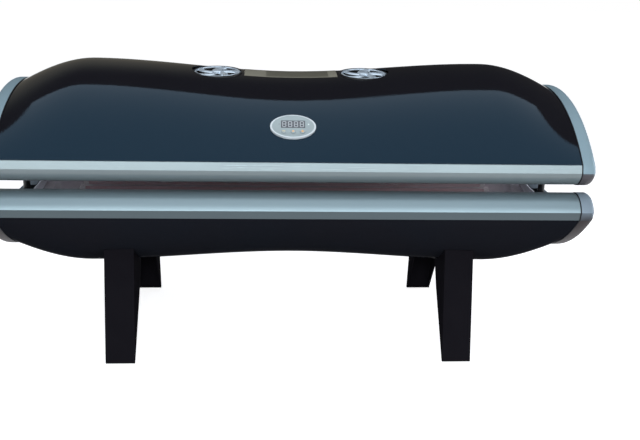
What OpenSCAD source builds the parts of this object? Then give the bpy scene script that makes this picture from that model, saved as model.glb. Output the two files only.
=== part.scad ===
// Red light therapy bed: a lamp bench on four sheet metal legs and a lamp canopy
// hinged over it, with gas springs in the end caps. Millimetres, +Z up, +Y to the
// back, origin on the floor under the middle of the whole bed, hinges included.

/* [Body] */
// Overall length over the end caps
bed_length = 2200; // [2000:10:2400]
// Depth of the bench and of the canopy, front crease to rear crease
body_depth = 1050; // [950:10:1100]
// How far the canopy sits behind the bench
canopy_setback = 25; // [0:1:40]
// Clear gap between the bench rails and the canopy rails
clam_gap = 30; // [20:1:60]
// Floor to the lower edge of the bench rails
bench_edge_height = 592; // [540:1:700]
// Thickness of the moulded shells
shell_wall = 4; // [3:0.5:6]

/* [Shell form] */
// Depth of the bench shell at the middle
bench_mid = 247; // [230:1:270]
// Depth of the bench shell at its two bulges
bench_peak = 284; // [275:1:310]
// Depth of the bench shell at the end caps
bench_end = 209; // [190:1:230]
// Rise of the canopy shell at the middle
canopy_mid = 271; // [262:1:290]
// Rise of the canopy shell at its two bulges
canopy_peak = 314; // [300:1:340]
// Rise of the canopy shell at the end caps
canopy_end = 230; // [215:1:245]
// Distance of each bulge from the middle of the bed
bulge_place = 780; // [700:10:850]
// Slope of the crown line where it meets an end cap
end_fall = 0.55; // [0.3:0.05:0.7]

/* [Rails] */
// Height of a rail
rail_height = 85; // [80:1:95]
// Height of the leaning band beside the shell
band_height = 30; // [28:1:36]
// How far the band leans out to the crease
band_lean = 8; // [4:1:12]
// How far the nose runs back from the crease to the gap
nose_depth = 75; // [65:1:85]
// Width of the lip that holds the acrylic
lip_width = 20; // [16:1:26]
// Wall of the rail extrusion
rail_wall = 3; // [2:0.5:4]

/* [End caps] */
// Width of an end cap along the bed
cap_width = 55; // [54:1:70]
// Radius of the cap's outer edge
cap_round = 20; // [12:1:22]
// How far the cap stands proud of shell and rails
cap_proud = 2; // [1:0.5:3]
// Wall of the cap moulding
cap_wall = 4; // [3:0.5:5]
// Height of the curved cut-out for the neck and feet
dip_rise = 102; // [80:1:120]

/* [Lamps] */
// Number of lamps in the bench and in the canopy
lamp_count = 10; // [6:1:11]
// Diameter of a lamp tube
lamp_diameter = 38; // [26:1:38]
// Length of a lamp tube
lamp_length = 1760; // [1500:10:1840]
// Distance between neighbouring lamps
lamp_pitch = 85; // [60:1:88]
// Thickness of the acrylic sheets
acrylic_thickness = 5; // [4:1:8]
// Rise of the bench acrylic, edge to middle
bench_acrylic_rise = 144; // [120:1:150]
// Rise of the canopy acrylic, edge to middle
canopy_acrylic_rise = 172; // [150:1:180]
// Space from the acrylic's inner face to the reflector
lamp_space = 60; // [54:1:62]
// Thickness of the reflector sheets
reflector_wall = 1.5; // [1:0.5:2]

/* [Frame] */
// Thickness of the end bulkheads
bulkhead_wall = 5; // [4:1:8]
// Web thickness of the ribs
rib_web = 3; // [2:1:5]
// Width of the rib flange against the shell
rib_flange = 60; // [50:1:80]
// Length of the bench ballast box
ballast_length = 460; // [300:10:520]
// Width of the ballast boxes
ballast_width = 160; // [120:10:180]
// Height of the bench ballast box
ballast_height = 65; // [50:1:70]
// Height of the canopy ballast boxes
canopy_ballast_height = 40; // [30:1:46]

/* [Fans] */
// Diameter of a fan grille
grille_diameter = 180; // [170:1:186]
// Diameter of the well round a grille
well_diameter = 196; // [190:1:198]
// How far a grille lies below the shell
grille_recess = 5; // [2:1:8]
// Distance of each fan from the middle of the bed
fan_place = 289; // [270:1:330]
// Distance of the fans in front of the canopy's ridge
fan_forward = 75; // [50:1:90]
// Depth of a fan housing
fan_depth = 58; // [54:1:62]
// Number of fan blades
blade_count = 7; // [5:1:9]

/* [Top cover] */
// Length of the service cover between the fans
cover_length = 364; // [320:2:366]
// Width of the service cover
cover_width = 180; // [140:2:190]
// Length of the blank plate in the service cover
plate_length = 244; // [180:2:260]
// How far the blank plate sits to the right of the middle
plate_shift = 25; // [0:1:30]
// Width of the rims in front of the blank plate and behind it
plate_rim = 8; // [6:1:30]

/* [Control panel] */
// Width of the oval panel
panel_width = 166; // [150:2:180]
// Height of the oval panel
panel_height = 106; // [96:2:110]
// How far the panel is below the canopy's ridge, measured to the front
panel_forward = 420; // [400:1:440]
// Width of the display window
display_width = 87; // [70:1:92]
// Height of the display window
display_height = 34; // [26:1:36]
// Diameter of a button
button_diameter = 17; // [12:1:18]
// Distance between neighbouring buttons
button_pitch = 34; // [28:1:36]
// Travel of a button
button_travel = 1; // [0.6:0.1:1.2]

/* [Hinges and gas springs] */
// Distance of each hinge from the middle of the bed
hinge_place = 700; // [500:10:900]
// Length of a hinge
hinge_width = 80; // [60:2:100]
// Distance of the hinge axis behind the rear crease of the canopy
hinge_behind = 12; // [10:1:20]
// Diameter of a hinge pin
pin_diameter = 12; // [8:1:14]
// Distance between the gas spring pivots, canopy closed
spring_length = 520; // [512:1:530]
// Diameter of the gas spring tube
tube_diameter = 28; // [22:1:30]
// Diameter of the gas spring rod
rod_diameter = 10; // [8:1:12]
// Diameter of the gas spring studs
stud_diameter = 10; // [8:1:12]

/* [Legs] */
// Width of a leg
leg_width = 110; // [90:1:130]
// Inner side of each leg from the middle of the bed
leg_place = 589; // [500:1:620]
// Front face of the foot in front of the middle
foot_reach = 437; // [400:1:450]
// Front face of the leg where it meets the shell
leg_top_reach = 370; // [350:1:385]
// Depth of the leg's foot
foot_depth = 12; // [10:1:30]
// Height of the knee in the leg's back edge
knee_height = 240; // [200:1:260]
// Depth of the leg at its knee
knee_depth = 157; // [120:1:160]
// Sheet thickness of the legs
leg_sheet = 4; // [3:0.5:5]
// Thickness of the rubber foot pads
pad_thickness = 4; // [3:1:6]

/* [Hidden] */

// Clearances between neighbouring pieces
seat = 0.3;
facet_seat = 0.8;
running = 0.06;
panel_line = 1.5;

// Points round a circle that is cut by other shapes, and round small parts
round_big = 160;
round_small = 48;

// Outline of the shells: chord between the tops of the bands
half_depth = body_depth / 2;
half_chord = half_depth - band_lean;
shell_half = bed_length / 2 - cap_width;
canopy_edge_height = bench_edge_height + 2 * rail_height + clam_gap;
ring_count = 28;
arc_steps = 26;
lip_y = half_depth - nose_depth - lip_width;

function ease(t) = t * t * (3 - 2 * t);
function crown(x, mid, peak, end) =
    let (a = abs(x), run = shell_half - bulge_place)
    a <= bulge_place ? mid + (peak - mid) * ease(a / bulge_place)
    : let (t = (a - bulge_place) / run)
      peak + (end - peak) * ease(t) - end_fall * run * (t * t * t - t * t);
function bench_crown(x) = crown(x, bench_mid, bench_peak, bench_end);
function canopy_crown(x) = crown(x, canopy_mid, canopy_peak, canopy_end);

// Radius of the arc over half a chord c that rises by h
function arc_radius(c, h) = (c * c + h * h) / (2 * h);
function shell_radius(h) = arc_radius(half_chord, h);

// Points of a shell's cross-section that rises by h, moved in by inset
function shell_arc(h, inset) =
    let (r = shell_radius(h), ri = r - inset, half = acos((r - h) / ri))
    [for (j = [0 : arc_steps]) let (a = half * (2 * j / arc_steps - 1))
        [ri * sin(a), h - r + ri * cos(a)]];

// Stations along the shell, closer together towards the ends
shell_stations = [for (i = [0 : ring_count]) let (s = 2 * i / ring_count - 1)
    shell_half * s * (1.35 - 0.35 * s * s)];

function crown_of(kind, x) = kind == "bench" ? bench_crown(x) : canopy_crown(x);

// One skin of the shell: the points of its rings, one ring after another
function skin(kind, inset, stations) =
    [for (x = stations) for (p = shell_arc(crown_of(kind, x), inset)) [x, p[0], p[1]]];

// Two triangles between corners a, b, c, d that go round a face
function quad(a, b, c, d) = [[a, b, c], [a, c, d]];

row = arc_steps + 1;
function at(i, j) = i * row + j;

// The rising side of the gas spring, and its pivots
hinge_y = half_depth + canopy_setback + hinge_behind;
hinge_z = bench_edge_height + rail_height + clam_gap / 2;
knuckle_r = pin_diameter / 2 + 6;
spring_x = bed_length / 2 - cap_width / 2 - 6.5;
spring_foot_height = hinge_z - spring_length / 2;
spring_top_height = hinge_z + spring_length / 2;

// Acrylic, seen in the frame of one half, where the shell edge is at zero
acrylic_edge_y = lip_y + 8;
acrylic_edge_z = -rail_height + rail_wall + seat;
function acrylic_radius(rise) = arc_radius(acrylic_edge_y, rise);
function acrylic_centre(rise) = acrylic_edge_z + rise - acrylic_radius(rise);
acrylic_half = shell_half - bulkhead_wall - seat;
reflector_short = 12;

// Moves a piece from the bench's middle plane to the middle of the whole bed
middle_shift = (half_depth + cap_proud - hinge_y - knuckle_r) / 2;
module whole_place() { translate([0, middle_shift, 0]) children(); }

// Places the half's frame: shell edge at zero, crown towards +Z
module bench_place() {
    whole_place() translate([0, 0, bench_edge_height]) mirror([0, 0, 1]) children();
}
module canopy_place() {
    whole_place() translate([0, canopy_setback, canopy_edge_height]) children();
}

// Turns a drawing in Y and Z into a bar along X
module along_x(length) { rotate([90, 0, 90]) linear_extrude(height = length, center = true) children(); }
module from_x(x, length) {
    translate([x, 0, 0]) rotate([90, 0, 90]) linear_extrude(height = length) children();
}
// Round bar along X whose left end is at x
module bar_x(x, length, r, y, z, sides = round_small) {
    translate([x, y, z]) rotate([0, 90, 0]) cylinder(h = length, r = r, $fn = sides);
}

// Shells
module shell_sheet(kind, inset, wall, stations) {
    n = len(stations) - 1;
    m = row * (n + 1);
    last = arc_steps;
    polyhedron(
        points = concat(skin(kind, inset, stations), skin(kind, inset + wall, stations)),
        faces = concat(
            [for (i = [0 : n - 1]) for (j = [0 : last - 1])
                each quad(at(i, j), at(i, j + 1), at(i + 1, j + 1), at(i + 1, j))],
            [for (i = [0 : n - 1]) for (j = [0 : last - 1])
                each quad(m + at(i, j), m + at(i + 1, j), m + at(i + 1, j + 1), m + at(i, j + 1))],
            [for (i = [0 : n - 1]) each quad(m + at(i, 0), at(i, 0), at(i + 1, 0), m + at(i + 1, 0))],
            [for (i = [0 : n - 1])
                each quad(at(i, last), m + at(i, last), m + at(i + 1, last), at(i + 1, last))],
            [for (j = [0 : last - 1]) each quad(at(0, j), m + at(0, j), m + at(0, j + 1), at(0, j + 1))],
            [for (j = [0 : last - 1])
                each quad(at(n, j), at(n, j + 1), m + at(n, j + 1), m + at(n, j))]));
}
module shell_wall_solid(kind) { shell_sheet(kind, 0, shell_wall, shell_stations); }

bolt_r = 4;
bolt_hole_r = 4.5;
bolt_angles = [24, 31];
bolt_spread = 20;
leg_mid = leg_place + leg_width / 2;
leg_crown_out = bench_crown(leg_place + leg_width);
leg_crown_in = bench_crown(leg_place);
leg_crown = (leg_crown_in + leg_crown_out) / 2;
leg_seat_r = shell_radius(leg_crown_in);
leg_seat_z = leg_crown - leg_seat_r;
leg_seat_tilt = atan((leg_crown_out - leg_crown_in) / leg_width);
rib_crown = bench_crown(leg_mid - rib_flange / 2);
rib_crown_canopy = canopy_crown(leg_mid - rib_flange / 2);

// Leg bolts in the bench half's frame, each on a line through the shell's arc centre
module leg_bolt_places(sides = [-1, 1], fronts = [-1, 1]) {
    for (s = sides) for (f = fronts) for (a = bolt_angles) for (d = [-1, 1])
        translate([s * leg_mid, 0, leg_seat_z]) rotate([0, -s * leg_seat_tilt, 0])
            translate([d * bolt_spread, 0, 0]) rotate([-f * a, 0, 0])
                translate([0, 0, leg_seat_r]) children();
}

module bench_shell() {
    color("#16202c") bench_place() difference() {
        shell_wall_solid("bench");
        leg_bolt_places() translate([0, 0, -20]) cylinder(h = 40, r = bolt_hole_r, $fn = round_small);
    }
}

// Fans and panel sit square to the shell at their own place
fan_crown = canopy_crown(fan_place);
fan_tilt = asin(fan_forward / shell_radius(fan_crown));
fan_z = fan_crown - shell_radius(fan_crown) * (1 - cos(fan_tilt));
grille_r = grille_diameter / 2;
well_r = well_diameter / 2;
module fan_frame(side) {
    canopy_place() translate([side * fan_place, -fan_forward, fan_z]) rotate([fan_tilt, 0, 0]) children();
}
panel_tilt = asin(panel_forward / shell_radius(canopy_mid));
panel_z = canopy_mid - shell_radius(canopy_mid) * (1 - cos(panel_tilt));
module panel_frame() {
    canopy_place() translate([0, -panel_forward, panel_z]) rotate([panel_tilt, 0, 0]) children();
}
module oval(w, h) { polygon([for (i = [0 : 63]) [w / 2 * cos(i * 5.625), h / 2 * sin(i * 5.625)]]); }
cover_y = 45 - fan_forward;
plate_width = cover_width - 2 * plate_rim;

module canopy_shell() {
    color("#263a4b") difference() {
        canopy_place() shell_wall_solid("canopy");
        for (side = [-1, 1]) fan_frame(side)
            translate([0, 0, -40]) cylinder(h = 80, r = well_r, $fn = 96);
        panel_frame() translate([0, 0, -20]) linear_extrude(height = 40)
            oval(panel_width + 2 * seat, panel_height + 2 * seat);
        canopy_place() translate([0, cover_y, canopy_mid])
            cube([cover_length + 2 * panel_line, cover_width + 2 * panel_line, 60], center = true);
    }
}

// Rails: a leaning band, a crease, a round nose and a lip under the acrylic
nose_r = arc_radius(nose_depth, rail_height - band_height);
nose_centre_z = nose_r - rail_height;
nose_start = asin(nose_depth / nose_r);
nose_obtuse = nose_r < rail_height - band_height ? 180 - nose_start : nose_start;
nose_steps = 12;
flange_width = 32;

// Front half of a rail's outside, from the shell's edge to the gap, y negative
function nose_points(r) = [for (k = [0 : nose_steps]) let (a = nose_obtuse * (1 - k / nose_steps))
    [-(half_depth - nose_depth) - r * sin(a), nose_centre_z - r * cos(a)]];
function rail_outside() = concat([[-half_chord, 0]], nose_points(nose_r));
module rail_section() {
    polygon(concat(
        [[-half_chord + flange_width, 0]],
        rail_outside(),
        [[-lip_y, -rail_height], [-lip_y, -rail_height + rail_wall]],
        [for (k = [nose_steps : -1 : 0]) nose_points(nose_r - rail_wall)[k]],
        [[-half_chord + rail_wall, -rail_wall], [-half_chord + flange_width, -rail_wall]]));
}
module rail(side) { scale([1, -side, 1]) along_x(2 * shell_half) rail_section(); }

gland_x = -760;
gland_z = -band_height / 2;
gland_y = half_depth - band_lean / 2;
gland_r = 10;
gland_bore_r = 5;
module gland_frame() { bench_place() translate([gland_x, gland_y, gland_z]) rotate([-90, 0, 0]) children(); }

module bench_front_rail() { color("#8ea4b0") bench_place() rail(-1); }
module bench_rear_rail() {
    color("#8ea4b0") difference() {
        bench_place() rail(1);
        gland_frame() translate([0, 0, -12]) cylinder(h = 24, r = gland_r + seat, $fn = round_small);
    }
}
module canopy_front_rail() { color("#a6bcc6") canopy_place() rail(-1); }
module canopy_rear_rail() { color("#a6bcc6") canopy_place() rail(1); }

// End caps: one outline that follows rail, shell and rail, with the curved cut-out
dip_r = arc_radius(lip_y, dip_rise);
dip_centre = dip_rise - rail_height - dip_r;
function flip(points) = [for (i = [len(points) - 1 : -1 : 0]) [-points[i][0], points[i][1]]];
function cap_arc(h) = let (a = shell_arc(h, 0)) [for (j = [1 : arc_steps - 1]) a[j]];
function nose_up() = [for (k = [nose_steps : -1 : 0]) nose_points(nose_r)[k]];
function cap_outline(h) =
    concat(nose_up(), [[-half_chord, 0]], cap_arc(h), [[half_chord, 0]], flip(nose_up()));

// Moves a closed outline in by d; the outline runs clockwise in Y and Z
function side_normal(a, b) = let (v = b - a) [v[1], -v[0]] / norm(v);
function moved_in(points, d) = [for (i = [0 : len(points) - 1])
    let (n = len(points), p = points[i],
        u = side_normal(points[(i + n - 1) % n], p), w = side_normal(p, points[(i + 1) % n]))
    p + d * (u + w) / (1 + u * w)];

round_steps = 5;
module cap_body(h) {
    outline = cap_outline(h);
    n = len(outline);
    rings = concat([[shell_half, -cap_proud]],
        [for (k = [0 : round_steps]) let (a = 90 * k / round_steps)
            [shell_half + cap_width - cap_round + cap_round * sin(a),
             cap_round * (1 - cos(a)) - cap_proud]]);
    last = len(rings) - 1;
    points = [for (r = rings) for (p = moved_in(outline, r[1])) [r[0], p[0], p[1]]];
    polyhedron(points = points, faces = concat(
        [for (k = [0 : last - 1]) for (i = [0 : n - 1])
            each quad(k * n + i, k * n + (i + 1) % n, (k + 1) * n + (i + 1) % n, (k + 1) * n + i)],
        [[for (i = [n - 1 : -1 : 0]) i]],
        [[for (i = [0 : n - 1]) last * n + i]]));
}
spring_slot_front = 20;
spring_slot_back = 80;
spring_slot_width = tube_diameter + 8;
module dip_circle(grow) { translate([0, dip_centre]) circle(r = dip_r + grow, $fn = 4 * round_big); }
module end_cap(h, shift) {
    outline = cap_outline(h);
    deep = cap_width - cap_round + 2;
    difference() {
        cap_body(h);
        from_x(shell_half - 2, cap_width + 4) dip_circle(0);
        from_x(shell_half - 1, deep + 1) difference() {
            polygon(moved_in(outline, cap_wall - cap_proud));
            dip_circle(cap_wall);
        }
        from_x(shell_half - 1, cap_width - cap_wall + 1) difference() {
            polygon(moved_in(outline, 2.5 * cap_wall));
            dip_circle(3 * cap_wall);
        }
        translate([spring_x - spring_slot_width / 2, -spring_slot_front - shift, -rail_height])
            cube([spring_slot_width, spring_slot_front + spring_slot_back, rail_height + 60]);
    }
}
module side_of(side) { scale([side, 1, 1]) children(); }
module bench_end_cap_left() { color("#93a2b0") bench_place() side_of(-1) end_cap(bench_end, 0); }
module bench_end_cap_right() { color("#93a2b0") bench_place() side_of(1) end_cap(bench_end, 0); }
module canopy_end_cap_left() {
    color("#9fb4c1") canopy_place() side_of(-1) end_cap(canopy_end, canopy_setback);
}
module canopy_end_cap_right() {
    color("#9fb4c1") canopy_place() side_of(1) end_cap(canopy_end, canopy_setback);
}

// Bulkheads close the ends and make a lip above the acrylic
module bulkhead(h, stud_y, stud_z) {
    r = shell_radius(h) - shell_wall - facet_seat;
    from_x(shell_half - bulkhead_wall, bulkhead_wall) difference() {
        union() {
            intersection() {
                translate([0, h - shell_radius(h)]) circle(r = r, $fn = round_big);
                translate([-half_chord, seat]) square([2 * half_chord, 2 * h]);
            }
            translate([-acrylic_edge_y - 8, -rail_height + rail_wall + seat])
                square([2 * acrylic_edge_y + 16, rail_height]);
        }
        translate([0, dip_centre]) circle(r = dip_r, $fn = round_big);
        translate([stud_y, stud_z]) circle(r = stud_diameter / 2 + running, $fn = round_small);
    }
}
module bench_bulkhead(side) {
    bench_place() side_of(side) bulkhead(bench_end, 0, bench_edge_height - spring_foot_height);
}
module canopy_bulkhead(side) {
    canopy_place() side_of(side)
        bulkhead(canopy_end, -canopy_setback, spring_top_height - canopy_edge_height);
}
module bench_bulkhead_left() { color("#4a4d52") bench_bulkhead(-1); }
module bench_bulkhead_right() { color("#4a4d52") bench_bulkhead(1); }
module canopy_bulkhead_left() { color("#4a4d52") canopy_bulkhead(-1); }
module canopy_bulkhead_right() { color("#4a4d52") canopy_bulkhead(1); }

// Ribs: a crescent web between reflector and shell with a flange against the shell
module crescent(h, rise, depth) {
    r = shell_radius(h);
    difference() {
        intersection() {
            translate([0, h - r]) circle(r = r - shell_wall - facet_seat, $fn = round_big);
            translate([-half_chord, seat]) square([2 * half_chord, 2 * h]);
        }
        translate([0, acrylic_centre(rise)]) circle(
            r = acrylic_radius(rise) + acrylic_thickness + lamp_space + reflector_wall + seat,
            $fn = round_big);
        if (depth > 0) translate([0, h - r])
            circle(r = r - shell_wall - facet_seat - depth, $fn = round_big);
    }
}
module rib(h, rise) {
    flange_wall = 4;
    from_x(leg_mid - rib_web / 2, rib_web) difference() {
        crescent(h, rise, 0);
        for (y = [-300, -150, 150, 300])
            translate([y, h * (y * y > 40000 ? 0.5 : 0.68)]) circle(r = 26, $fn = round_small);
    }
    from_x(leg_mid - rib_flange / 2, rib_flange) crescent(h, rise, flange_wall);
}
module bench_rib(side) {
    bench_place() difference() {
        side_of(side) rib(rib_crown, bench_acrylic_rise);
        leg_bolt_places([side]) translate([0, 0, -30]) cylinder(h = 40, r = bolt_r, $fn = round_small);
    }
}
module bench_rib_left() { color("#5b5f66") bench_rib(-1); }
module bench_rib_right() { color("#5b5f66") bench_rib(1); }
module canopy_rib(side) { canopy_place() side_of(side) rib(rib_crown_canopy, canopy_acrylic_rise); }
module canopy_rib_left() { color("#5b5f66") canopy_rib(-1); }
module canopy_rib_right() { color("#5b5f66") canopy_rib(1); }

// Acrylic sheet, reflector and lamps lie on arcs about one centre
module arc_sheet(rise, from, wall, half_width, low) {
    r = acrylic_radius(rise) + from;
    intersection() {
        translate([0, acrylic_centre(rise)]) difference() {
            circle(r = r + wall, $fn = round_big);
            circle(r = r, $fn = round_big);
        }
        translate([-half_width, low]) square([2 * half_width, 400]);
    }
}
module acrylic(rise) {
    along_x(2 * acrylic_half)
        arc_sheet(rise, 0, acrylic_thickness, acrylic_edge_y, -rail_height);
}
module reflector(rise) {
    along_x(2 * (acrylic_half - reflector_short))
        arc_sheet(rise, acrylic_thickness + lamp_space, reflector_wall, lip_y, -rail_height);
}
lamp_r = lamp_diameter / 2;
holder_length = 22;
holder_recess = 6;
module lamp_places(rise) {
    r = acrylic_radius(rise) + acrylic_thickness + lamp_space / 2;
    for (k = [0 : lamp_count - 1])
        let (a = (k - (lamp_count - 1) / 2) * lamp_pitch / r * 180 / PI)
            translate([0, 0, acrylic_centre(rise)]) rotate([-a, 0, 0]) translate([0, 0, r]) children();
}
module lamps(rise) {
    end_r = lamp_r - 0.5;
    lamp_places(rise) {
        bar_x(-lamp_length / 2 + 20, lamp_length - 40, lamp_r, 0, 0);
        for (s = [-1, 1]) bar_x(s * (lamp_length / 2 - 10) - 10, 20, end_r, 0, 0);
    }
}
module lamp_holders(rise) {
    half = lamp_length / 2;
    top = lamp_space / 2 - facet_seat;
    lamp_places(rise) for (s = [-1, 1]) difference() {
        translate([s * (half - holder_recess + holder_length / 2) - holder_length / 2, -lamp_r, -lamp_r - 3])
            cube([holder_length, 2 * lamp_r, lamp_r + 3 + top]);
        bar_x(s * (half - 20) - 20 - seat, 40 + 2 * seat, lamp_r - 0.3, 0, 0);
    }
}
module bench_reflector() { color("#c9ccd0") bench_place() reflector(bench_acrylic_rise); }
module bench_lamps() { color("#d8504a") bench_place() lamps(bench_acrylic_rise); }
module bench_lamp_holders() { color("#e6e6e0") bench_place() lamp_holders(bench_acrylic_rise); }
module bench_acrylic() { color("#5a4e58") bench_place() acrylic(bench_acrylic_rise); }
module canopy_reflector() { color("#c9ccd0") canopy_place() reflector(canopy_acrylic_rise); }
module canopy_lamps() { color("#d8504a") canopy_place() lamps(canopy_acrylic_rise); }
module canopy_lamp_holders() { color("#e6e6e0") canopy_place() lamp_holders(canopy_acrylic_rise); }
module canopy_acrylic() { color("#5a4e58") canopy_place() acrylic(canopy_acrylic_rise); }

// Ballast boxes stand on the reflector's back
function reflector_back(rise, y) = acrylic_centre(rise)
    + sqrt(pow(acrylic_radius(rise) + acrylic_thickness + lamp_space + reflector_wall, 2) - y * y);
module ballast(rise, x, length, height) {
    foot = 16;
    clear = 8;
    low = reflector_back(rise, 0) + clear;
    translate([x - length / 2, -ballast_width / 2, low]) cube([length, ballast_width, height]);
    for (s = [-1, 1]) translate([x + s * (length / 2 - foot) - foot / 2, -foot, low - clear + seat])
        cube([foot, 2 * foot, clear + foot]);
}
module bench_ballast_box() {
    color("#2e3238") bench_place() ballast(bench_acrylic_rise, 0, ballast_length, ballast_height);
}
module canopy_ballast_boxes() {
    room = acrylic_half - leg_mid - rib_flange / 2;
    color("#2e3238") canopy_place() for (s = [-1, 1])
        ballast(canopy_acrylic_rise, s * (acrylic_half - room / 2), 0.75 * room, canopy_ballast_height);
}

module power_gland() {
    color("#1b1b1d") gland_frame() difference() {
        union() {
            translate([0, 0, -10]) cylinder(h = 22, r = gland_r, $fn = round_small);
            translate([0, 0, 5]) cylinder(h = 7, r = gland_r + 4, $fn = 6);
            translate([0, 0, 12]) cylinder(h = 12, r = gland_r - 1, $fn = round_small);
            translate([0, 0, -14]) cylinder(h = 6, r = gland_r + 3, $fn = 6);
        }
        translate([0, 0, -15]) cylinder(h = 40, r = gland_bore_r, $fn = round_small);
    }
}

// Service cover between the fans, flush with the shell
cover_wall = 3;
module cover_sheet(inset, wall, shift, length, width) {
    steps = 6;
    intersection() {
        shell_sheet("canopy", inset, wall,
            [for (i = [0 : steps]) shift + length * (i / steps - 0.5)]);
        translate([shift, cover_y, canopy_mid]) cube([2 * length, width, 60], center = true);
    }
}
module plate_hole(inset) {
    translate([plate_shift, cover_y, canopy_mid])
        cube([plate_length - 2 * inset, plate_width - 2 * inset, 80], center = true);
}
strap_reach = 8;
module top_cover() {
    ledge = 6;
    color("#6a675c") canopy_place() {
        difference() {
            cover_sheet(0, cover_wall, 0, cover_length, cover_width);
            plate_hole(0);
        }
        difference() {
            cover_sheet(cover_wall, 2, plate_shift, plate_length + 2 * ledge, plate_width + 2 * ledge);
            plate_hole(ledge);
        }
        difference() {
            cover_sheet(0, shell_wall + seat, 0, cover_length, 40);
            plate_hole(-ledge);
        }
        difference() {
            cover_sheet(shell_wall + seat, 2, 0, cover_length + 2 * strap_reach, 40);
            plate_hole(-ledge);
        }
    }
}
module top_plate() {
    color("#4e4c45") canopy_place() cover_sheet(
        cover_wall - 2 - seat, 2, plate_shift, plate_length - 2 * seat, plate_width - 2 * seat);
}

// Fans: housing, motor, impeller and chrome grille
housing_r = well_r - seat;
duct_r = housing_r - 5;
grille_seat_r = duct_r - 1;
motor_r = 22;
shaft_r = 3;
impeller_low = -grille_recess - 24;
impeller_high = -grille_recess - 10;
spoke_count = 5;
module fan_housing(side) {
    fan_frame(side) {
        difference() {
            union() {
                translate([0, 0, -fan_depth]) cylinder(h = fan_depth - 3, r = housing_r, $fn = 96);
                translate([0, 0, -19]) cylinder(h = 4, r = housing_r + 5, $fn = 96);
            }
            translate([0, 0, -fan_depth - 1]) cylinder(h = fan_depth + 2, r = duct_r, $fn = 96);
        }
        difference() {
            translate([0, 0, -grille_recess - 7]) cylinder(h = 3, r = duct_r + 1, $fn = 96);
            translate([0, 0, -grille_recess - 8]) cylinder(h = 5, r = grille_r - 5, $fn = 96);
        }
        for (k = [0 : 2]) rotate([0, 0, 120 * k]) translate([motor_r - 1, -4, -fan_depth])
            cube([duct_r - motor_r + 3, 8, 4]);
        translate([0, 0, -fan_depth]) cylinder(h = 4, r = motor_r + 2, $fn = round_small);
    }
}
module fan_motor(side) {
    fan_frame(side) {
        translate([0, 0, -fan_depth + 4]) cylinder(h = 24, r = motor_r, $fn = round_small);
        translate([0, 0, -fan_depth + 20]) cylinder(h = fan_depth - 30, r = shaft_r, $fn = round_small);
    }
}
module fan_impeller(side) {
    fan_frame(side) {
        difference() {
            translate([0, 0, impeller_low])
                cylinder(h = impeller_high - impeller_low, r = 26, $fn = round_small);
            translate([0, 0, impeller_low - 1])
                cylinder(h = impeller_high - impeller_low + 2, r = shaft_r + running, $fn = round_small);
        }
        for (k = [0 : blade_count - 1]) rotate([0, 0, 360 / blade_count * k])
            translate([20, 0, (impeller_low + impeller_high) / 2]) rotate([32, 0, 0])
                translate([5, -11, -1]) cube([duct_r - 29, 22, 2]);
    }
}
// One curved spoke, drawn flat: part of a ring whose centre is off to the side
module spoke() {
    bend_r = grille_r * 0.62;
    intersection() {
        translate([grille_r * 0.48, -grille_r * 0.42]) difference() {
            circle(r = bend_r + 8, $fn = 64);
            circle(r = bend_r - 8, $fn = 64);
        }
        square([grille_r, grille_r]);
        circle(r = grille_r - 4, $fn = 96);
    }
}
module fan_grille(side) {
    fan_frame(side) translate([0, 0, -grille_recess]) {
        rotate_extrude($fn = 96) polygon([[grille_r - 9, -4 + seat], [grille_r, -4 + seat], [grille_r, 0],
            [grille_r - 2, 2], [grille_r - 6, 2], [grille_r - 9, 0]]);
        rotate_extrude($fn = 64) polygon([[0, -4], [22, -4], [22, 2], [16, 6], [0, 8]]);
        for (k = [0 : spoke_count - 1]) rotate([0, 0, 360 / spoke_count * k])
            translate([0, 0, -3]) linear_extrude(height = 4.4) spoke();
    }
}
module fan_housing_left() { color("#141416") fan_housing(-1); }
module fan_housing_right() { color("#141416") fan_housing(1); }
module fan_motor_left() { color("#3a3c40") fan_motor(-1); }
module fan_motor_right() { color("#3a3c40") fan_motor(1); }
module fan_impeller_left() { color("#1d1d20") fan_impeller(-1); }
module fan_impeller_right() { color("#1d1d20") fan_impeller(1); }
module fan_grille_left() { color("#c8d2da") fan_grille(-1); }
module fan_grille_right() { color("#c8d2da") fan_grille(1); }

// Control panel
face_top = 8;
face_wall = 4;
bezel_low = -10;
lip_top = -7;
display_y = 10;
button_y = -24;
button_r = button_diameter / 2;
board_top = -6;
board_wall = 1.6;
post_x = 52;
post_y = 22;
module panel_bezel() {
    color("#b9c8d2") panel_frame() {
        difference() {
            union() {
                translate([0, 0, bezel_low]) linear_extrude(height = face_top - bezel_low)
                    oval(panel_width, panel_height);
                translate([0, 0, bezel_low]) linear_extrude(height = lip_top - bezel_low)
                    oval(panel_width + 10, panel_height + 10);
            }
            translate([0, 0, bezel_low - 1]) linear_extrude(height = face_top - face_wall - bezel_low + 1)
                oval(panel_width - 8, panel_height - 8);
            translate([-display_width / 2, display_y - display_height / 2, -2])
                cube([display_width, display_height, 20]);
            for (k = [-1 : 1]) translate([k * button_pitch, button_y, -2])
                cylinder(h = 20, r = button_r + seat, $fn = round_small);
            translate([0, 0, face_top - 1]) linear_extrude(height = 2)
                oval(panel_width - 12, panel_height - 12);
        }
        for (x = [-post_x, post_x]) for (y = [-post_y, post_y])
            translate([x, y, board_top + seat])
                cylinder(h = face_top - face_wall - board_top - seat, r = 3, $fn = 24);
    }
}
module display_window() {
    color("#5f6e78") panel_frame()
        translate([-display_width / 2 + seat, display_y - display_height / 2 + seat, board_top + seat])
            cube([display_width - 2 * seat, display_height - 2 * seat, face_top - 1.5 - board_top - seat]);
}
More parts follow.
